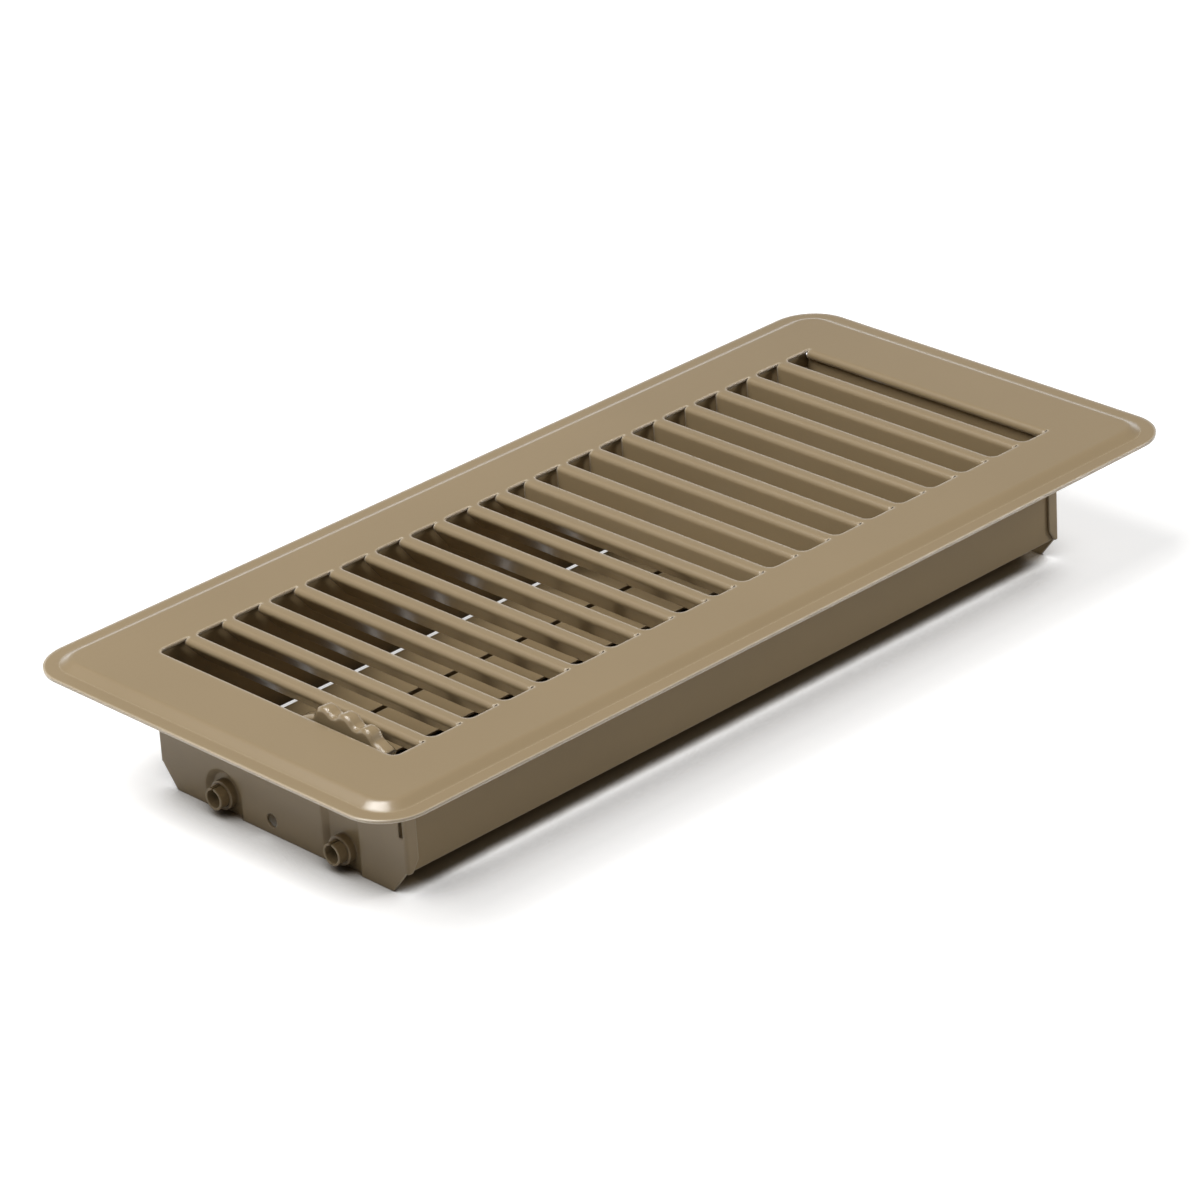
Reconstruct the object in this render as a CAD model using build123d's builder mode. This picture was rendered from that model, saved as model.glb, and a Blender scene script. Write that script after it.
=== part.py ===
from build123d import *
from math import atan, cos, degrees, radians, sin, sqrt, tan
import os

os.makedirs("parts", exist_ok=True)

# A floor register for a duct opening of 4 by 10 inches, all sizes in millimetres.
# X runs along the face with the lever at the -X end, Y runs across it, Z is up.
# The origin is the middle of the footprint, at the bottom of the two end plates.

# Face plate, one stamped sheet
end_border = 25.23
side_border = 23.9
lip_corner = 13.0
lip_band = 4.2
bevel_run = 3.0
bevel_rise = 1.7
face_sheet = 0.8
bevel_round = 2.0

# Slots and the fins folded out of them
slot_length = 88.7
slot_gap = 10.0
middle_slot_gap = 8.0
slot_bar = 2.33
middle_bar = 2.6
slots_each_half = 10
slot_corner = 2.2
slot_fold_corner = 0.25
slot_edge_break = 0.25
fold_radius = 1.3
fin_end_gap = 0.3
near_bend_start = 132.0
near_bend_step = 0.9
middle_bend = 132.0
far_bend = 90.0
last_fold_depth = 0.9
shear_loss = 0.1

# Damper box, walls and end plates
face_height = 38.6
wall_sheet = 0.7
wall_margin = 1.15
wall_depth = 32.0
wall_flange = 9.0
wall_bend = 1.0
end_slot_margin = 0.15
wall_end_gap = 0.1
end_flange = 9.0
end_flange_width = 84.0
side_flange = 3.8
side_flange_gap = 0.05
foot_half_width = 40.9
side_flange_cut = 3.3
corner_round = 0.9
relief_width = 1.5
relief_inset = 0.2
relief_low = 22.0
relief_high = 9.0

# Recesses, collars and small features of an end plate
tube_spacing = 44.8
tube_drop = 33.4
recess_half_width = 7.0
recess_depth = 1.4
recess_slope = 1.6
channel_top = 26.3
collar_wall = 0.85
collar_length = 2.2
low_hole_radius = 1.9
low_hole_y = 4.0
low_hole_height = 4.1
bead_length = 20.0
bead_width = 4.4
bead_depth = 0.9
bead_slope = 1.0
bead_y = -0.5
bead_height = 21.9
high_hole_radius = 1.6
high_hole_y = -21.2
high_hole_height = 20.4

# Damper blades
tube_radius = 3.05
tube_clearance = 0.1
tube_overhang = 3.5
blade_sheet = 0.6
blade_half_width = 20.2
blade_half_length = 113.0
blade_sheet_rise = 2.45
seam_half_gap = 0.9
end_seam_half_gap = 0.35

# Link between the blades
link_radius = 9.0
link_lean = 30.0
link_half_width = 2.3
link_sheet = 1.0
link_side_gap = 0.3
ear_round = 2.7
ear_base = 7.0
rivet_radius = 1.25
rivet_clearance = 0.08
rivet_seat = 0.02
rivet_head_radius = 2.1
rivet_head = 0.6
rivet_head_gap = 0.1

# Thumb lever
lever_thickness = 4.4
lever_web = 1.4
lever_rim = 2.0
lever_slot_margin = 2.3
lever_hub_radius = 4.9
lever_hub_clearance = 0.05
lever_neck_angle = 48.0
lever_foot_start = 6.0
lever_foot_end = 15.0
lever_foot_length = 8.0
lever_foot_sheet = 0.9
lever_edge_break = 0.8
lever_reach = 34.3
lever_half_angle = 27.0
lever_blend = 2.0
# Bumps of the thumb edge: degrees from upright towards +Y, height over the edge, and roundness
lever_bumps = [(11.5, 2.4, 3.6), (-1.5, 2.0, 3.8), (-14.5, 1.7, 3.2)]

# Heights worked out from the sizes above
face_top = face_height
panel_under = face_top - face_sheet
lip_top = face_top - bevel_rise
lip_under = lip_top - face_sheet
wall_bottom = face_top - wall_depth
flange_under = panel_under - wall_sheet
tube_height = face_top - tube_drop
tube_y = tube_spacing / 2

# Plan sizes worked out from the sizes above
slot_pitch = slot_gap + slot_bar
pattern_end = middle_bar / 2 + middle_slot_gap + (slots_each_half - 1) * slot_pitch
lip_length = 2 * (pattern_end + end_border)
lip_width = slot_length + 2 * side_border
wall_y = slot_length / 2 + wall_margin
wall_outer_y = wall_y + wall_sheet
flange_outer_y = wall_outer_y + side_flange_gap + wall_sheet
end_inner_x = pattern_end + end_slot_margin
end_outer_x = end_inner_x + wall_sheet
tube_end_x = end_outer_x + tube_overhang
lever_near_x = -pattern_end + lever_slot_margin


def slot_edges(half):
    """Start, width and order from the middle of each slot of one half, -1 near the lever or +1."""
    edges = []
    for order in range(slots_each_half):
        width = middle_slot_gap if order == 0 else slot_gap
        inner = middle_bar / 2
        if order > 0:
            inner += middle_slot_gap + slot_bar + (order - 1) * slot_pitch
        start = inner if half > 0 else -inner - width
        edges.append((start, width, order))
    return edges


def near_bend(order):
    """Bend of a fin in the lever half, in degrees, counted from the middle of the face."""
    if order < 2:
        return middle_bend
    return near_bend_start - near_bend_step * (slots_each_half - 1 - order)


def flap_length(width, bend):
    """Straight part of a flap that was sheared out of a slot of this width."""
    return width - shear_loss - radians(bend) * (fold_radius - face_sheet / 2)


def fold_section(start, bend, straight):
    """Section of a fin: it leaves the panel at start towards -X, curls down and runs on straight."""
    centre = (start, face_top - fold_radius)
    root = start + slot_edge_break
    run = Vector(-cos(radians(bend)), -sin(radians(bend))) * straight
    with BuildLine(Plane.XY) as outline:
        outer = CenterArc(centre, fold_radius, 90, bend)
        inner = CenterArc(centre, fold_radius - face_sheet, 90 + bend, -bend)
        Polyline(outer @ 1, outer @ 1 + run, inner @ 0 + run, inner @ 0)
        Polyline(inner @ 1, (root, panel_under), (root, face_top), outer @ 0)
    make_face(outline.edges())


# Face plate

bevel_angle = degrees(atan(bevel_rise / bevel_run))
under_shift = face_sheet * tan(radians(bevel_angle / 2))

with BuildPart() as face_plate:
    with BuildSketch(Plane.XY.offset(lip_under)):
        RectangleRounded(lip_length, lip_width, lip_corner)
    extrude(amount=face_sheet)
    with BuildSketch(Plane.XY.offset(lip_top)):
        RectangleRounded(lip_length - 2 * lip_band, lip_width - 2 * lip_band, lip_corner - lip_band)
    with BuildSketch(Plane.XY.offset(face_top)):
        step = lip_band + bevel_run
        RectangleRounded(lip_length - 2 * step, lip_width - 2 * step, lip_corner - step)
    loft()
    fillet(face_plate.edges().group_by(Axis.Z)[-1], radius=bevel_round)
    # The hollow side of the bevel and panel
    with BuildSketch(Plane.XY.offset(lip_under)):
        step = lip_band + under_shift
        RectangleRounded(lip_length - 2 * step, lip_width - 2 * step, lip_corner - step)
    with BuildSketch(Plane.XY.offset(panel_under)):
        step = lip_band + bevel_run + under_shift
        RectangleRounded(lip_length - 2 * step, lip_width - 2 * step, lip_corner - step)
    loft(mode=Mode.SUBTRACT)
    # Slots, well rounded at the cut side and less at the fold side
    with BuildSketch(Plane.XY.offset(panel_under)) as slots:
        for start, width, order in slot_edges(-1) + slot_edges(1):
            with Locations((start + width / 2, 0)):
                Rectangle(width, slot_length)
        corners = slots.vertices().sort_by(Axis.X)
        fillet(corners[0::4] + corners[1::4], radius=slot_corner)
        fillet(corners[2::4] + corners[3::4], radius=slot_fold_corner)
    extrude(amount=face_sheet, mode=Mode.SUBTRACT)
    # Blunt upper rims that the shearing leaves round each slot
    slot_rims = face_plate.faces().sort_by(Axis.Z)[-1].inner_wires()
    chamfer(slot_rims.edges(), length=slot_edge_break)
    # Fins, folded down from the far edge of each slot
    fin_length = slot_length - 2 * fin_end_gap
    with BuildSketch(Plane.XZ):
        for start, width, order in slot_edges(-1):
            bend = near_bend(order)
            fold_section(start + width, bend, flap_length(width, bend))
        for start, width, order in slot_edges(1):
            is_last = order == slots_each_half - 1
            straight = last_fold_depth if is_last else flap_length(width, far_bend)
            fold_section(start + width, far_bend, straight)
    extrude(amount=fin_length / 2, both=True)

face_plate.part.label = "face_plate"
export_step(face_plate.part, "parts/face_plate.step")

# Side walls, each with a flange turned out under the panel

wall_half_length = end_inner_x - wall_end_gap

with BuildPart() as side_wall_left:
    with BuildSketch(Plane.YZ.offset(-wall_half_length)) as wall_section:
        with BuildLine():
            Polyline(
                (wall_y, wall_bottom),
                (wall_outer_y, wall_bottom),
                (wall_outer_y, flange_under),
                (wall_outer_y + wall_flange, flange_under),
                (wall_outer_y + wall_flange, panel_under),
                (wall_y, panel_under),
                close=True,
            )
        make_face()
        fillet(wall_section.vertices().sort_by_distance((wall_y, panel_under))[0], wall_bend + wall_sheet)
        fillet(wall_section.vertices().sort_by_distance((wall_outer_y, flange_under))[0], wall_bend)
    extrude(amount=2 * wall_half_length)

side_wall_left.part.label = "side_wall_left"
export_step(side_wall_left.part, "parts/side_wall_left.step")

with BuildPart() as side_wall_right:
    add(side_wall_left.part.mirror(Plane.XZ))

side_wall_right.part.label = "side_wall_right"
export_step(side_wall_right.part, "parts/side_wall_right.step")

# End plates: one stamping, used at the lever end and turned half round at the other end

near_face = Plane.YZ.offset(-end_outer_x)
strip_top = flange_under - wall_bend - side_flange_gap
collar_bore = tube_radius + tube_clearance
recess_angle = degrees(atan(recess_slope / recess_depth))
bead_angle = degrees(atan(bead_slope / bead_depth))
recess_under = wall_sheet * tan(radians(90 - recess_angle) / 2)
bead_under = wall_sheet * tan(radians(90 - bead_angle) / 2)


def recess_mouths(grow):
    """Two round-topped openings round the tubes, open at the foot; grow widens them all round."""
    for y, top in ((tube_y, tube_height), (-tube_y, channel_top - recess_half_width)):
        with Locations((y, top)):
            Circle(recess_half_width + grow)
        with Locations((y, (top - recess_half_width) / 2)):
            Rectangle(2 * (recess_half_width + grow), top + recess_half_width)


def bead_mouth(grow):
    """Outline of the long shallow bead across the middle of the plate; grow widens it all round."""
    with Locations((bead_y, bead_height)):
        SlotOverall(bead_length + 2 * grow, bead_width + 2 * grow)


with BuildPart() as end_plate_near:
    # Plate with its side flanges wrapped round the outside of the walls
    with BuildSketch(Plane.XY.offset(wall_bottom)) as channel:
        with Locations((-end_outer_x + side_flange / 2, 0)):
            Rectangle(side_flange, 2 * flange_outer_y)
        fillet(channel.vertices().group_by(Axis.X)[0], corner_round)
        with Locations((-end_inner_x + side_flange / 2, 0)):
            Rectangle(side_flange, 2 * (flange_outer_y - wall_sheet), mode=Mode.SUBTRACT)
    extrude(amount=strip_top - wall_bottom)
    with BuildSketch(Plane.XZ):
        with BuildLine():
            Polyline(
                (-end_outer_x + corner_round + wall_sheet, wall_bottom),
                (-end_outer_x + side_flange, wall_bottom),
                (-end_outer_x + side_flange, wall_bottom + side_flange_cut),
                close=True,
            )
        make_face()
    extrude(amount=flange_outer_y, both=True, mode=Mode.SUBTRACT)
    # Foot of the plate, tapered below the walls
    foot_start_y = flange_outer_y - corner_round
    with BuildSketch(near_face):
        with BuildLine():
            Polyline(
                (-foot_start_y, wall_bottom),
                (-foot_half_width, 0),
                (foot_half_width, 0),
                (foot_start_y, wall_bottom),
                close=True,
            )
        make_face()
    extrude(amount=wall_sheet)
    # Flange turned out under the panel
    with BuildSketch(Plane.XZ) as flange_section:
        with BuildLine():
            Polyline(
                (-end_inner_x, strip_top - wall_sheet),
                (-end_outer_x, strip_top - wall_sheet),
                (-end_outer_x, flange_under),
                (-end_outer_x - end_flange, flange_under),
                (-end_outer_x - end_flange, panel_under),
                (-end_inner_x, panel_under),
                close=True,
            )
        make_face()
    extrude(amount=end_flange_width / 2, both=True)
    # Recesses round the two damper tubes and the bead between them, pressed inwards
    with BuildSketch(near_face.offset(wall_sheet)):
        recess_mouths(recess_under)
    extrude(amount=recess_depth, taper=recess_angle)
    with BuildSketch(near_face.offset(wall_sheet)):
        bead_mouth(bead_under)
    extrude(amount=bead_depth, taper=bead_angle)
    with BuildSketch(near_face):
        recess_mouths(0)
    extrude(amount=recess_depth, taper=recess_angle, mode=Mode.SUBTRACT)
    with BuildSketch(near_face):
        bead_mouth(0)
    extrude(amount=bead_depth, taper=bead_angle, mode=Mode.SUBTRACT)
    with BuildSketch(Plane.XY):
        with Locations((-end_outer_x + recess_depth, 0)):
            Rectangle(4 * recess_depth, 2 * wall_y)
    extrude(amount=-2 * recess_half_width, mode=Mode.SUBTRACT)
    # Collars that carry the damper tubes
    with BuildSketch(near_face.offset(recess_depth)):
        with Locations((tube_y, tube_height), (-tube_y, tube_height)):
            Circle(collar_bore + collar_wall)
    extrude(amount=-collar_length)
    with BuildSketch(near_face.offset(recess_depth + wall_sheet)):
        with Locations((tube_y, tube_height), (-tube_y, tube_height)):
            Circle(collar_bore)
        with Locations((low_hole_y, low_hole_height)):
            Circle(low_hole_radius)
        with Locations((high_hole_y, high_hole_height)):
            Circle(high_hole_radius)
    extrude(amount=-recess_depth - wall_sheet - collar_length, mode=Mode.SUBTRACT)
    # Relief slits beside the bends of the side flanges
    relief_length = relief_low - relief_high
    with BuildSketch(near_face):
        with Locations(
            (wall_outer_y - relief_inset - relief_width / 2, face_top - relief_high - relief_length / 2),
            (-wall_outer_y + relief_inset + relief_width / 2, face_top - relief_high - relief_length / 2),
        ):
            Rectangle(relief_width, relief_length)
    extrude(amount=wall_sheet, mode=Mode.SUBTRACT)

end_plate_near.part.label = "end_plate_near"
export_step(end_plate_near.part, "parts/end_plate_near.step")

with BuildPart() as end_plate_far:
    add(end_plate_near.part.rotate(Axis.Z, 180))

end_plate_far.part.label = "end_plate_far"
export_step(end_plate_far.part, "parts/end_plate_far.step")

# Damper blades: one sheet each, with a tube rolled into its middle and an ear for the link

tube_bore = tube_radius - blade_sheet
sheet_top = tube_height + blade_sheet_rise
ear_pivot = Vector(-link_radius * sin(radians(link_lean)), link_radius * cos(radians(link_lean)))
ear_inner_x = blade_half_length - blade_sheet


def blade_point(side, offset=(0, 0)):
    """Point in the YZ plane at an offset from the axis of the right, -1, or left, +1, tube."""
    return (side * tube_y + offset[0], tube_height + offset[1])


with BuildPart() as damper_blade_right:
    # Sheet and the rolled tube under it
    with BuildSketch(Plane.YZ):
        with Locations(blade_point(-1)):
            Circle(tube_radius)
        with Locations(blade_point(-1, (0, tube_radius))):
            Rectangle(2 * tube_radius, 2 * (tube_radius - blade_sheet_rise), mode=Mode.SUBTRACT)
        with Locations(blade_point(-1, (0, blade_sheet_rise - blade_sheet / 2))):
            Rectangle(2 * blade_half_width, blade_sheet)
        with Locations(blade_point(-1)):
            Circle(tube_bore, mode=Mode.SUBTRACT)
        with Locations(blade_point(-1, (0, tube_radius))):
            Rectangle(2 * seam_half_gap, 2 * tube_radius, mode=Mode.SUBTRACT)
    extrude(amount=blade_half_length, both=True)
    # Bare tube ends that turn in the collars
    for end in (-1, 1):
        with BuildSketch(Plane.YZ.offset(end * blade_half_length)):
            with Locations(blade_point(-1)):
                Circle(tube_radius)
                Circle(tube_bore, mode=Mode.SUBTRACT)
            with Locations(blade_point(-1, (0, tube_radius))):
                Rectangle(2 * end_seam_half_gap, 2 * tube_radius, mode=Mode.SUBTRACT)
        extrude(amount=end * (tube_end_x - blade_half_length))
    # Ear turned up from the far end of the sheet
    with BuildSketch(Plane.YZ.offset(ear_inner_x)):
        with Locations(blade_point(-1, (ear_pivot.X, ear_pivot.Y))):
            Circle(ear_round)
        with Locations(blade_point(-1, (ear_pivot.X, blade_sheet_rise - blade_sheet / 2))):
            Rectangle(ear_base, blade_sheet)
        make_hull()
        with Locations(blade_point(-1, (ear_pivot.X, ear_pivot.Y))):
            Circle(rivet_radius + rivet_clearance, mode=Mode.SUBTRACT)
    extrude(amount=blade_sheet)

damper_blade_right.part.label = "damper_blade_right"
export_step(damper_blade_right.part, "parts/damper_blade_right.step")

with BuildPart() as damper_blade_left:
    add(damper_blade_right.part.moved(Location((0, tube_spacing, 0))))

damper_blade_left.part.label = "damper_blade_left"
export_step(damper_blade_left.part, "parts/damper_blade_left.step")

# Link bar with its two rivets

link_x = blade_half_length + link_side_gap
link_places = [blade_point(side, (ear_pivot.X, ear_pivot.Y)) for side in (-1, 1)]

with BuildPart() as link_bar:
    with BuildSketch(Plane.YZ.offset(link_x)):
        with Locations((ear_pivot.X, tube_height + ear_pivot.Y)):
            SlotCenterToCenter(tube_spacing, 2 * link_half_width)
        with Locations(*link_places):
            Circle(rivet_radius + rivet_seat, mode=Mode.SUBTRACT)
    extrude(amount=link_sheet)

link_bar.part.label = "link_bar"
export_step(link_bar.part, "parts/link_bar.step")

rivet_start = ear_inner_x - rivet_head_gap

with BuildPart() as link_rivets:
    with BuildSketch(Plane.YZ.offset(rivet_start)):
        with Locations(*link_places):
            Circle(rivet_head_radius)
    extrude(amount=-rivet_head)
    with BuildSketch(Plane.YZ.offset(rivet_start)):
        with Locations(*link_places):
            Circle(rivet_radius)
    extrude(amount=link_x + link_sheet - rivet_start)
    with BuildSketch(Plane.YZ.offset(link_x + link_sheet)):
        with Locations(*link_places):
            Circle(rivet_head_radius)
    extrude(amount=rivet_head)

link_rivets.part.label = "link_rivets"
export_step(link_rivets.part, "parts/link_rivets.step")

# Thumb lever on the right blade

lever_plane = Plane.YZ.offset(lever_near_x)


def lever_point(angle, reach):
    """Point of the lever at an angle from upright, positive towards +Y, and a distance from its tube."""
    return blade_point(-1, (reach * sin(radians(angle)), reach * cos(radians(angle))))


with BuildPart() as thumb_lever:
    # Web with its bumps and its neck down to the hub
    with BuildSketch(lever_plane) as web:
        with BuildLine():
            edge = CenterArc(blade_point(-1), lever_reach, 90 - lever_half_angle, 2 * lever_half_angle)
            Polyline(
                edge @ 1,
                lever_point(-lever_neck_angle, lever_hub_radius),
                lever_point(lever_neck_angle, lever_hub_radius),
                edge @ 0,
            )
        make_face()
        for angle, height, roundness in lever_bumps:
            with Locations(lever_point(angle, lever_reach + height - roundness)):
                Circle(roundness)
        # Out and back again, which rounds the hollows between the bumps
        offset(amount=lever_blend)
        offset(amount=-lever_blend)
    extrude(amount=lever_web)
    # Thumb rim over the full thickness
    with BuildSketch(lever_plane):
        add(web.sketch_local)
        with Locations(blade_point(-1)):
            Circle(lever_reach - lever_rim, mode=Mode.SUBTRACT)
    extrude(amount=lever_thickness)
    near_arcs = thumb_lever.faces().sort_by(Axis.X)[0].edges().filter_by(GeomType.CIRCLE)
    far_arcs = thumb_lever.faces().sort_by(Axis.X)[-1].edges().filter_by(GeomType.CIRCLE)
    far_arcs = far_arcs.filter_by(lambda arc: abs(arc.radius - lever_reach + lever_rim) > lever_rim / 2)
    chamfer(near_arcs + far_arcs, length=lever_edge_break)
    # Hub round the tube and the foot welded to the blade
    with BuildSketch(lever_plane):
        with Locations(blade_point(-1)):
            Circle(lever_hub_radius)
    extrude(amount=lever_thickness)
    with BuildSketch(Plane.XY.offset(sheet_top)):
        with Locations((lever_near_x + lever_thickness / 2, -tube_y - lever_foot_end / 2)):
            Rectangle(lever_thickness, lever_foot_end)
        foot_length = lever_thickness + lever_foot_length
        with Locations((lever_near_x + foot_length / 2, -tube_y - (lever_foot_start + lever_foot_end) / 2)):
            Rectangle(foot_length, lever_foot_end - lever_foot_start)
    extrude(amount=lever_foot_sheet)
    with BuildSketch(lever_plane):
        with Locations(blade_point(-1)):
            Circle(tube_radius + lever_hub_clearance)
    extrude(amount=lever_thickness, mode=Mode.SUBTRACT)

thumb_lever.part.label = "thumb_lever"
export_step(thumb_lever.part, "parts/thumb_lever.step")
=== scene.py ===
import logging
import math
from dataclasses import dataclass, field
from enum import Enum
from typing import Any

import bpy
from mathutils import Matrix, Vector

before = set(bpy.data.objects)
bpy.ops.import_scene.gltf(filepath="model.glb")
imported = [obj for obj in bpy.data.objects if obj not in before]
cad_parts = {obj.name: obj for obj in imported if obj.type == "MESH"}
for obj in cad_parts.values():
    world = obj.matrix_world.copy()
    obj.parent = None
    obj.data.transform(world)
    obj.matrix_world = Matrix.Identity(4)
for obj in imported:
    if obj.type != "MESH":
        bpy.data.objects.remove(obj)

log = logging.getLogger("register")

Colour = tuple[float, float, float]
Triple = tuple[float, float, float]
Span = tuple[float, float]

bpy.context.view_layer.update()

# Plain white, with its alpha
WHITE = (1.0, 1.0, 1.0, 1.0)
# Nothing to all, and all to nothing
RISING: Span = (0.0, 1.0)
FALLING: Span = (1.0, 0.0)
# The range that holds nearly all the values of a noise texture
NOISE_CORE: Span = (0.3, 0.7)
# Steps between the nodes of a tree on the page, and the number of rows they take
NODE_STEPS = (180, -60)
NODE_ROWS = 5


class PaintCoat(Enum):
    """How thick the taupe enamel lies on a piece, as a share of the full coat."""

    FULL = 1.0
    THIN = 0.6


class NodeBench:
    """Small helper that adds shader nodes to one node tree and wires them."""

    def __init__(self, tree: bpy.types.NodeTree) -> None:
        """Empty a node tree and start on it.

        Args:
            tree: Node tree of a material or of the world.
        """
        self.tree = tree
        self.tree.nodes.clear()
        self.column = 0

    def add(self, kind: str, **settings: Any) -> bpy.types.Node:
        """Add one node.

        Args:
            kind: Blender's identifier of the node type.
            **settings: Attributes of the node, or values of its inputs under the inputs' names
                with underscores for spaces.

        Returns:
            The new node.
        """
        node = self.tree.nodes.new(kind)
        across, down = NODE_STEPS
        node.location = (across * self.column, down * (self.column % NODE_ROWS))
        self.column += 1
        for key, value in settings.items():
            if hasattr(node, key):
                setattr(node, key, value)
            else:
                node.inputs[key.replace("_", " ")].default_value = value
        return node

    def join(self, source: bpy.types.NodeSocket, target: bpy.types.NodeSocket) -> None:
        """Wire one output to one input."""
        self.tree.links.new(source, target)

    def blend(self, amount: bpy.types.NodeSocket, low: Any, high: Any) -> bpy.types.NodeSocket:
        """Mix two colours.

        Args:
            amount: Output that says how much of the second colour shows.
            low: First colour, or the output that gives it.
            high: Second colour, or the output that gives it.

        Returns:
            The mixed colour's output.
        """
        node = self.add("ShaderNodeMix", data_type="RGBA")
        self.join(amount, node.inputs["Factor"])
        for socket, value in ((node.inputs[6], low), (node.inputs[7], high)):
            if isinstance(value, bpy.types.NodeSocket):
                self.join(value, socket)
            else:
                socket.default_value = (*value, 1.0)
        return node.outputs[2]

    def spread(
        self, source: bpy.types.NodeSocket, taken: Span, given: Span = RISING
    ) -> bpy.types.NodeSocket:
        """Map one range of values onto another, held at its ends.

        Args:
            source: Output whose values are mapped.
            taken: Range of the values that come in.
            given: Range that they are mapped onto.

        Returns:
            The mapped value's output.
        """
        node = self.add("ShaderNodeMapRange", clamp=True)
        self.join(source, node.inputs["Value"])
        limits = dict(zip(("From Min", "From Max", "To Min", "To Max"), (*taken, *given)))
        for name, value in limits.items():
            node.inputs[name].default_value = value
        return node.outputs["Result"]

    def reckon(
        self, operation: str, first: bpy.types.NodeSocket, second: Any = None
    ) -> bpy.types.NodeSocket:
        """Do one sum on an output.

        Args:
            operation: Blender's name of the sum.
            first: Output that is worked on.
            second: Second output or plain value, where the sum needs one.

        Returns:
            The result's output.
        """
        node = self.add("ShaderNodeMath", operation=operation)
        self.join(first, node.inputs[0])
        if isinstance(second, bpy.types.NodeSocket):
            self.join(second, node.inputs[1])
        elif second is not None:
            node.inputs[1].default_value = second
        return node.outputs["Value"]

    def openness(self, reach: float, probes: int) -> bpy.types.NodeSocket:
        """Find how open the space over each spot of a surface is.

        Args:
            reach: Distance within which other surfaces close a spot in, in metres.
            probes: Number of directions tried from each spot.

        Returns:
            The output that is 0 in a closed corner and 1 in the open.
        """
        node = self.add("ShaderNodeAmbientOcclusion", samples=probes, Distance=reach)
        return node.outputs["AO"]

    def seen_share(self) -> bpy.types.NodeSocket:
        """Find the rays that look at a surface, in place of those that carry light to another.

        Returns:
            The output that is 1 for rays that the camera sees straight, mirrored or through
            glass, and 0 for the rest.
        """
        ray = self.add("ShaderNodeLightPath").outputs
        seen = self.reckon("MAXIMUM", ray["Is Camera Ray"], ray["Is Glossy Ray"])
        return self.reckon("MAXIMUM", seen, ray["Is Transmission Ray"])


def new_material(name: str) -> bpy.types.Material:
    """Start a material made of nodes.

    Args:
        name: Name of the new material.

    Returns:
        The material, whose node tree is ready to be filled.
    """
    material = bpy.data.materials.new(name)
    material.use_nodes = True
    return material


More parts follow.
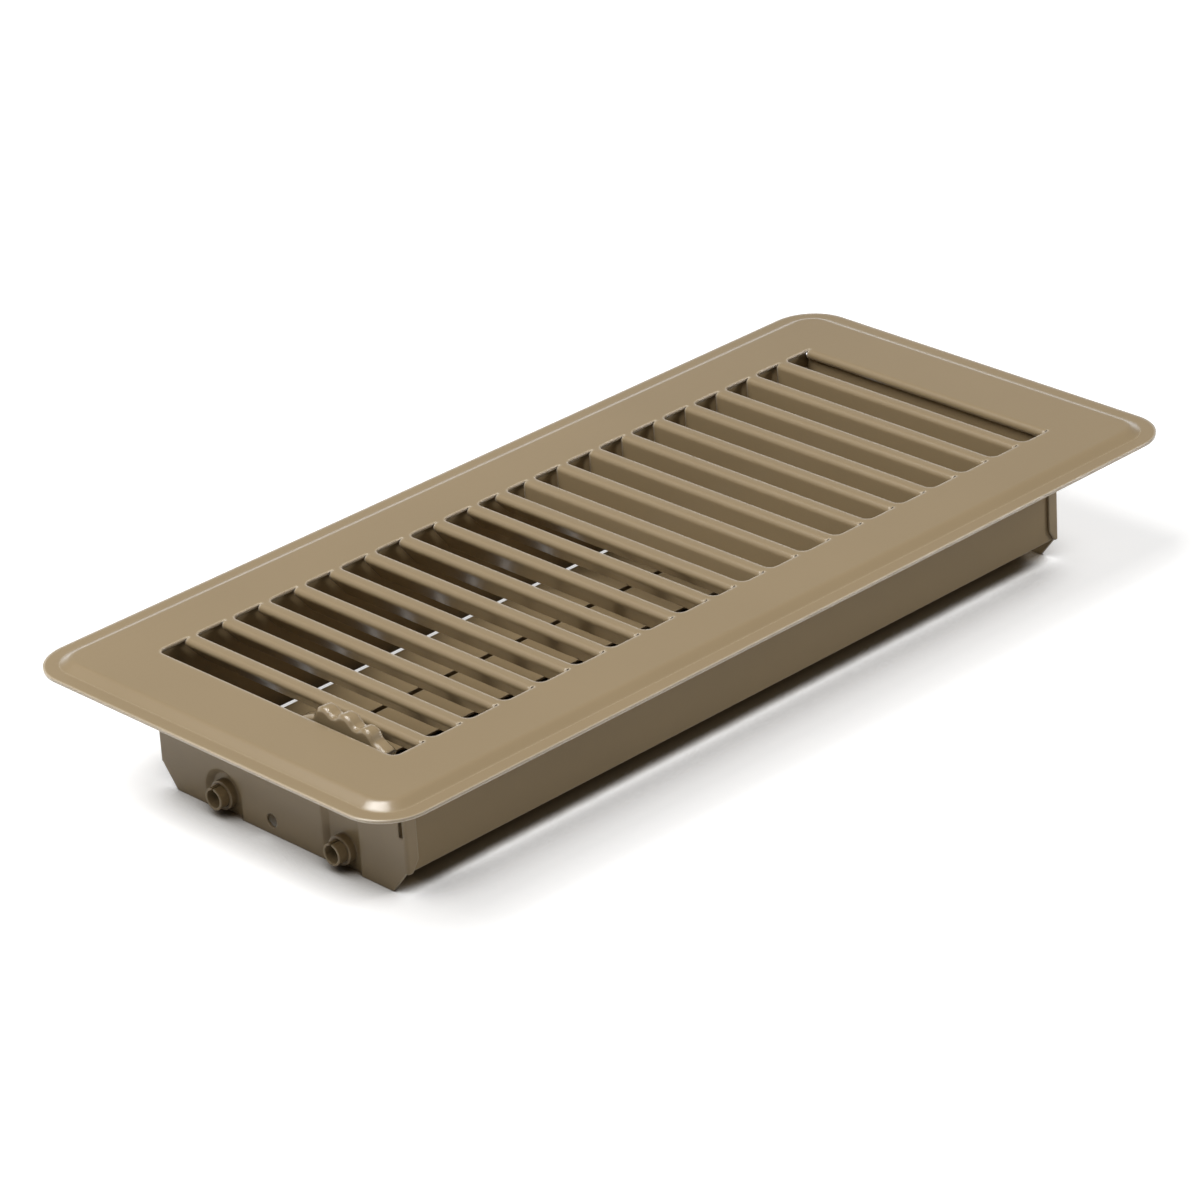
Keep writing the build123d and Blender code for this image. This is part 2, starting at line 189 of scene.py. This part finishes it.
@dataclass(frozen=True)
class TaupeEnamel:
    """Baked enamel on stamped steel: satin and faintly rippled, with painted highlights over edges
    and painted shade in crevices.

    The body's gloss is set by roughness and sheen_level, the clear skin over it by gloss_coat and
    coat_roughness. Sizes and reaches are in metres, tints are factors on the colour.
    """

    name: str
    colour: Colour = (0.30, 0.2235, 0.126)
    coat: PaintCoat = PaintCoat.FULL
    roughness: float = 0.36
    roughness_swing: float = 0.03
    refraction: float = 1.5
    sheen_level: float = 0.35
    gloss_coat: float = 1.0
    coat_roughness: float = 0.21
    cloud_size: float = 0.09
    cloud_layers: float = 4.0
    cloud_weight: float = 0.55
    cloud_tints: Span = (0.955, 1.035)
    ripple_size: float = 0.0016
    ripple_layers: float = 2.0
    ripple_weight: float = 0.45
    ripple_depth: float = 0.000014
    speck_scale: float = 5200.0
    speck_layers: float = 1.0
    speck_weight: float = 0.6
    speck_values: Span = (0.62, 0.8)
    speck_strength: float = 0.35
    speck_tint: float = 0.86
    # edge_radius rounds the face direction over edges; edge_turn and the edge colour paint a
    # highlight where it leans from the flat face
    edge_radius: float = 0.0007
    edge_turn: Span = (0.84, 0.965)
    edge_highlight_colour: Colour = (0.40, 0.32, 0.21)
    # crevice_reach, crevice_opening and the crevice shade paint shade into corners and hollows
    # that other surfaces close in
    crevice_reach: float = 0.005
    crevice_opening: Span = (0.15, 0.6)
    crevice_painted_shade: float = 0.62
    probes: int = 6

    def tint(self, factor: float) -> Colour:
        """Return the enamel's colour made lighter or darker by a factor."""
        return tuple(min(1.0, channel * factor) for channel in self.colour)

    def mottle(
        self, bench: NodeBench, clouds: bpy.types.NodeSocket, speckle: bpy.types.NodeSocket
    ) -> bpy.types.NodeSocket:
        """Lay wide colour clouds and fine dark specks.

        Args:
            bench: Bench of the material.
            clouds: Output of the wide noise.
            speckle: Output of the fine noise.

        Returns:
            The mottled colour's output.
        """
        cloud_share = bench.spread(clouds, NOISE_CORE)
        body = bench.blend(cloud_share, *(self.tint(factor) for factor in self.cloud_tints))
        most = self.speck_strength * self.coat.value
        speck_share = bench.spread(speckle, self.speck_values, (0.0, most))
        return bench.blend(speck_share, body, self.tint(self.speck_tint))

    def paint_highlight_and_shade(
        self, bench: NodeBench, body: bpy.types.NodeSocket, soft_edge: bpy.types.NodeSocket
    ) -> bpy.types.NodeSocket:
        """Paint a pale highlight over edges and shade into crevices.

        Args:
            bench: Bench of the material.
            body: Output of the colour so far.
            soft_edge: Output of the face direction as it is rounded over an edge.

        Returns:
            The finished colour's output.
        """
        flat_face = bench.add("ShaderNodeNewGeometry").outputs["Normal"]
        turn = bench.add("ShaderNodeVectorMath", operation="DOT_PRODUCT")
        bench.join(soft_edge, turn.inputs[0])
        bench.join(flat_face, turn.inputs[1])
        # Painted highlight: the colour turns pale where the rounded face direction leans away from
        # the flat one
        edge_share = bench.spread(turn.outputs["Value"], self.edge_turn, FALLING)
        body = bench.blend(edge_share, body, self.edge_highlight_colour)
        # Painted shade: the colour darkens where other surfaces close a spot in
        openness = bench.openness(self.crevice_reach, self.probes)
        crevice = bench.spread(openness, self.crevice_opening, FALLING)
        return bench.blend(crevice, body, self.tint(self.crevice_painted_shade))

    def build(self) -> bpy.types.Material:
        """Make the material.

        Returns:
            The finished material, with its clouds, specks, ripple, painted edge highlights and
            painted crevice shade.
        """
        material = new_material(self.name)
        bench = NodeBench(material.node_tree)
        place = bench.add("ShaderNodeTexCoord").outputs["Object"]
        noises = []
        for scale, layers, weight in (
            (1 / self.cloud_size, self.cloud_layers, self.cloud_weight),
            (1 / self.ripple_size, self.ripple_layers, self.ripple_weight),
            (self.speck_scale, self.speck_layers, self.speck_weight),
        ):
            noise = bench.add("ShaderNodeTexNoise", Scale=scale, Detail=layers, Roughness=weight)
            bench.join(place, noise.inputs["Vector"])
            noises.append(noise.outputs["Fac"])
        clouds, ripple, speckle = noises

        rounding = bench.add("ShaderNodeBevel", samples=self.probes, Radius=self.edge_radius)
        soft_edge = rounding.outputs["Normal"]
        colour = self.paint_highlight_and_shade(bench, self.mottle(bench, clouds, speckle), soft_edge)
        least, most = self.roughness - self.roughness_swing, self.roughness + self.roughness_swing
        satin = bench.spread(clouds, NOISE_CORE, (least, most))
        bump = bench.add("ShaderNodeBump", Strength=self.coat.value, Distance=self.ripple_depth)
        bench.join(ripple, bump.inputs["Height"])
        bench.join(soft_edge, bump.inputs["Normal"])

        shader = bench.add(
            "ShaderNodeBsdfPrincipled",
            Metallic=0.0,
            IOR=self.refraction,
            Specular_IOR_Level=self.sheen_level,
            Coat_Weight=self.gloss_coat,
            Coat_Roughness=self.coat_roughness,
        )
        bench.join(colour, shader.inputs["Base Color"])
        bench.join(satin, shader.inputs["Roughness"])
        bench.join(bump.outputs["Normal"], shader.inputs["Normal"])
        bench.join(soft_edge, shader.inputs["Coat Normal"])
        output = bench.add("ShaderNodeOutputMaterial")
        bench.join(shader.outputs["BSDF"], output.inputs["Surface"])
        return material


@dataclass(frozen=True)
class ZincSteel:
    """Plain zinc-coated steel of the hidden link, with faint spangle and drawing lines."""

    name: str
    colour: Colour = (0.52, 0.52, 0.5)
    roughness: float = 0.34
    roughness_swing: Span = (-0.06, 0.08)
    spangle_size: float = 0.006
    spangle_tint: float = 0.82
    line_scale: float = 1400.0
    line_layers: float = 3.0
    line_strength: float = 0.3
    line_depth: float = 0.00002

    def build(self) -> bpy.types.Material:
        """Make the material.

        Returns:
            The finished material.
        """
        material = new_material(self.name)
        bench = NodeBench(material.node_tree)
        place = bench.add("ShaderNodeTexCoord").outputs["Object"]
        spangle = bench.add("ShaderNodeTexVoronoi", Scale=1 / self.spangle_size)
        lines = bench.add("ShaderNodeTexNoise", Scale=self.line_scale, Detail=self.line_layers)
        for texture in (spangle, lines):
            bench.join(place, texture.inputs["Vector"])
        share = bench.spread(spangle.outputs["Color"], RISING)
        darker = tuple(channel * self.spangle_tint for channel in self.colour)
        tone = bench.blend(share, darker, self.colour)
        down, up = self.roughness_swing
        limits = (self.roughness + down, self.roughness + up)
        satin = bench.spread(lines.outputs["Fac"], NOISE_CORE, limits)
        bump = bench.add("ShaderNodeBump", Strength=self.line_strength, Distance=self.line_depth)
        bench.join(lines.outputs["Fac"], bump.inputs["Height"])
        shader = bench.add("ShaderNodeBsdfPrincipled", Metallic=1.0)
        bench.join(tone, shader.inputs["Base Color"])
        bench.join(satin, shader.inputs["Roughness"])
        bench.join(bump.outputs["Normal"], shader.inputs["Normal"])
        output = bench.add("ShaderNodeOutputMaterial")
        bench.join(shader.outputs["BSDF"], output.inputs["Surface"])
        return material


class Dresser:
    """Gives carried-over pieces their finishes."""

    @staticmethod
    def dress(node_name: str, material: bpy.types.Material) -> None:
        """Put one material in every slot of a piece.

        Args:
            node_name: Name of the carried-over piece.
            material: Finish that it gets.
        """
        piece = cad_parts[node_name]
        if not piece.material_slots:
            piece.data.materials.append(material)
        for slot in piece.material_slots:
            slot.material = material
        log.info("dressed %s with %s", node_name, material.name)


@dataclass
class FacePlate:
    """The stamped face with its slots and folded fins."""

    # The face's pale edge colour paints highlights along its slot rims and edges
    finish: TaupeEnamel = TaupeEnamel(
        "face_enamel_finish", edge_radius=0.0014, edge_highlight_colour=(0.66, 0.56, 0.42)
    )
    piece: str = "face_plate"

    def make(self) -> None:
        """Dress the face."""
        Dresser.dress(self.piece, self.finish.build())


@dataclass
class DamperBox:
    """The long walls and the two end plates under the face."""

    wall_finish: TaupeEnamel = TaupeEnamel(
        "wall_enamel_finish",
        coat=PaintCoat.THIN,
        roughness=0.4,
        sheen_level=0.12,
        gloss_coat=0.12,
    )
    end_finish: TaupeEnamel = TaupeEnamel(
        "end_enamel_finish",
        coat=PaintCoat.THIN,
        roughness=0.36,
        sheen_level=0.2,
        gloss_coat=0.3,
    )
    walls: tuple[str, ...] = ("side_wall_left", "side_wall_right")
    ends: tuple[str, ...] = ("end_plate_near", "end_plate_far")

    def make(self) -> None:
        """Dress the walls and the end plates."""
        for pieces, finish in ((self.walls, self.wall_finish), (self.ends, self.end_finish)):
            material = finish.build()
            for piece in pieces:
                Dresser.dress(piece, material)


@dataclass
class Damper:
    """The two blades with their tubes, the thumb lever and the link between them."""

    blade_finish: TaupeEnamel = TaupeEnamel(
        "blade_enamel_finish",
        coat=PaintCoat.THIN,
        roughness=0.38,
        sheen_level=0.15,
        gloss_coat=0.15,
    )
    lever_finish: TaupeEnamel = TaupeEnamel(
        "lever_enamel_finish", roughness=0.24, coat_roughness=0.05, edge_radius=0.0012
    )
    link_finish: ZincSteel = ZincSteel("link_zinc_finish")
    blades: tuple[str, ...] = ("damper_blade_right", "damper_blade_left")
    lever: tuple[str, ...] = ("thumb_lever",)
    link: tuple[str, ...] = ("link_bar", "link_rivets")

    def make(self) -> None:
        """Dress the blades, the lever and the link."""
        for pieces, finish in (
            (self.blades, self.blade_finish),
            (self.lever, self.lever_finish),
            (self.link, self.link_finish),
        ):
            material = finish.build()
            for piece in pieces:
                Dresser.dress(piece, material)


@dataclass(frozen=True)
class Softbox:
    """One large soft lamp that looks at the middle of the object."""

    name: str
    place: Triple
    width: float
    height: float
    power: float
    aim: Triple = (0.0, 0.0, 0.03)
    colour: Colour = (1.0, 0.99, 0.975)

    def hang(self) -> None:
        """Add the lamp to the scene."""
        lamp = bpy.data.lights.new(self.name, "AREA")
        lamp.shape = "RECTANGLE"
        lamp.size = self.width
        lamp.size_y = self.height
        lamp.energy = self.power
        lamp.color = self.colour
        stand = bpy.data.objects.new(self.name, lamp)
        stand.location = self.place
        look = Vector(self.aim) - Vector(self.place)
        stand.rotation_euler = look.to_track_quat("-Z", "Y").to_euler()
        bpy.context.scene.collection.objects.link(stand)


@dataclass
class Studio:
    """Pale floor, soft lamps and the even light of a white room.

    The floor is lifted to white for the camera, but not under the register, whose half sizes are
    shade_half, nor close to its walls, where it takes a painted shade. The room looks white from
    its floor up to the first height of ceiling_rise and falls to ceiling_tone at the second, both
    as sines of the angle.
    """

    floor_half: float = 6.0
    floor_colour: float = 0.6
    floor_lift: float = 0.68
    grain_scale: float = 40.0
    grain_layers: float = 3.0
    grain_tint: float = 0.995
    # Painted shade: dark floor colour under the register, blended in close to its walls
    painted_under_shade_colour: Colour = (0.16, 0.12, 0.07)
    shade_half: Span = (0.119, 0.041)
    shade_border: Span = (0.95, 1.0)
    shade_reach: float = 0.03
    shade_opening: Span = (0.36, 0.8)
    probes: int = 12
    room_light: float = 0.14
    ceiling_tone: float = 0.15
    ceiling_rise: Span = (0.1, 0.34)
    lamps: tuple[Softbox, ...] = (
        Softbox("key_softbox", (-0.78, 0.08, 1.26), 0.7, 0.7, 13.5),
        Softbox("overhead_softbox", (-0.30, 0.42, 1.45), 0.36, 0.95, 13.5),
        Softbox("side_softbox", (1.12, -0.92, 0.70), 0.4, 0.5, 7.5),
    )

    def open_floor(self, bench: NodeBench) -> bpy.types.NodeSocket:
        """Tell the open floor from the floor under the register and close to its walls, which
        takes a painted shade.

        Args:
            bench: Bench of the floor's material.

        Returns:
            The output that is 0 under the register, rises close to its walls and is 1 in the open.
        """
        place = bench.add("ShaderNodeTexCoord").outputs["Object"]
        axes = bench.add("ShaderNodeSeparateXYZ")
        bench.join(place, axes.inputs["Vector"])
        reaches = []
        for axis, half in zip("XY", self.shade_half):
            distance = bench.reckon("ABSOLUTE", axes.outputs[axis])
            reaches.append(bench.reckon("DIVIDE", distance, half))
        beside = bench.spread(bench.reckon("MAXIMUM", *reaches), self.shade_border)
        openness = bench.openness(self.shade_reach, self.probes)
        near_wall = bench.spread(openness, self.shade_opening)
        return bench.reckon("MULTIPLY", beside, near_wall)

    def floor_finish(self) -> bpy.types.Material:
        """Make the floor's paper, which stays white to the camera, keeps the shadow and takes a
        painted shade under the register and close to its walls.

        Returns:
            The finished material.
        """
        material = new_material("studio_floor_paper")
        bench = NodeBench(material.node_tree)
        grain = bench.add(
            "ShaderNodeTexNoise", Scale=self.grain_scale, Detail=self.grain_layers
        )
        tone_share = bench.spread(grain.outputs["Fac"], NOISE_CORE)
        pale = (self.floor_colour,) * 3
        grey = (self.floor_colour * self.grain_tint,) * 3
        tone = bench.blend(tone_share, grey, pale)
        outside = self.open_floor(bench)
        paper = bench.add("ShaderNodeBsdfDiffuse")
        # Painted shade: the floor's colour turns dark under the register and partly close to its
        # walls
        bench.join(bench.blend(outside, self.painted_under_shade_colour, tone), paper.inputs["Color"])
        lift = bench.reckon("MULTIPLY", bench.seen_share(), outside)
        white = bench.add("ShaderNodeEmission", Color=WHITE)
        bench.join(bench.reckon("MULTIPLY", lift, self.floor_lift), white.inputs["Strength"])
        both = bench.add("ShaderNodeAddShader")
        bench.join(paper.outputs["BSDF"], both.inputs[0])
        bench.join(white.outputs["Emission"], both.inputs[1])
        output = bench.add("ShaderNodeOutputMaterial")
        bench.join(both.outputs["Shader"], output.inputs["Surface"])
        return material

    def lay_floor(self) -> None:
        """Lay the pale floor at the height of the register's feet."""
        mesh = bpy.data.meshes.new("studio_floor")
        half = self.floor_half
        corners = [(-half, -half, 0), (half, -half, 0), (half, half, 0), (-half, half, 0)]
        mesh.from_pydata(corners, [], [(0, 1, 2, 3)])
        floor = bpy.data.objects.new("studio_floor", mesh)
        bpy.context.scene.collection.objects.link(floor)
        mesh.materials.append(self.floor_finish())

    def light_room(self) -> None:
        """Set the even light of the room, whose walls look white and whose ceiling is darker."""
        world = bpy.data.worlds.new("white_room")
        bpy.context.scene.world = world
        world.use_nodes = True
        bench = NodeBench(world.node_tree)
        heading = bench.add("ShaderNodeTexCoord").outputs["Generated"]
        axes = bench.add("ShaderNodeSeparateXYZ")
        bench.join(heading, axes.inputs["Vector"])
        wall_to_ceiling = (1.0, self.ceiling_tone)
        room_tone = bench.spread(axes.outputs["Z"], self.ceiling_rise, wall_to_ceiling)
        seen = bench.seen_share()
        shown = bench.reckon("MULTIPLY", seen, room_tone)
        unseen = bench.spread(seen, RISING, (self.room_light, 0.0))
        background = bench.add("ShaderNodeBackground", Color=WHITE)
        bench.join(bench.reckon("ADD", shown, unseen), background.inputs["Strength"])
        output = bench.add("ShaderNodeOutputWorld")
        bench.join(background.outputs["Background"], output.inputs["Surface"])

    def make(self) -> None:
        """Set up the floor, the room and the lamps."""
        self.lay_floor()
        self.light_room()
        for lamp in self.lamps:
            lamp.hang()
        bpy.context.scene.view_settings.view_transform = "Standard"
        log.info("studio ready with %d lamps", len(self.lamps))


@dataclass(frozen=True)
class PhotoCamera:
    """Camera at the photograph's viewing angle, as fitted to the register's straight edges.

    The place is in metres, the angles are in degrees, the lens and the sensor in millimetres.
    """

    place: Triple = (-0.822255, -0.874106, 0.614314)
    azimuth: float = 47.020
    fall: float = 26.3275
    roll: float = -3.6302
    lens: float = 152.348
    sensor: float = 36.0
    clip: Span = (0.05, 40.0)

    def axes(self) -> tuple[Vector, Vector, Vector]:
        """Work out the camera's directions.

        Returns:
            The directions to its right, up and forwards.
        """
        turn = math.radians(self.azimuth)
        dip = math.radians(self.fall)
        lean = math.radians(self.roll)
        level_reach = math.cos(dip)
        ahead = Vector(
            (math.cos(turn) * level_reach, math.sin(turn) * level_reach, -math.sin(dip))
        )
        level = Vector((math.sin(turn), -math.cos(turn), 0.0))
        above = level.cross(ahead)
        right = level * math.cos(lean) + above * math.sin(lean)
        up = above * math.cos(lean) - level * math.sin(lean)
        return right, up, ahead

    def make(self) -> None:
        """Add the camera and make it the scene's own."""
        data = bpy.data.cameras.new("photo_camera")
        data.sensor_fit = "HORIZONTAL"
        data.sensor_width = self.sensor
        data.lens = self.lens
        data.clip_start, data.clip_end = self.clip
        camera = bpy.data.objects.new("photo_camera", data)
        right, up, ahead = self.axes()
        turned = Matrix((right, up, -ahead)).transposed().to_4x4()
        camera.matrix_world = Matrix.Translation(Vector(self.place)) @ turned
        bpy.context.scene.collection.objects.link(camera)
        bpy.context.scene.camera = camera
        log.info("camera set at %.3f, %.3f, %.3f m", *self.place)


@dataclass
class Register:
    """The whole floor register."""

    face: FacePlate = field(default_factory=FacePlate)
    box: DamperBox = field(default_factory=DamperBox)
    damper: Damper = field(default_factory=Damper)

    def make(self) -> None:
        """Dress every sub-assembly in order."""
        for part in (self.face, self.box, self.damper):
            part.make()
            log.info("finished %s", type(part).__name__)


def main() -> None:
    """Dress the register and set up the studio and the camera."""
    logging.basicConfig(level=logging.INFO, format="%(name)s: %(message)s")
    Register().make()
    Studio().make()
    PhotoCamera().make()


if __name__ == "__main__":
    main()
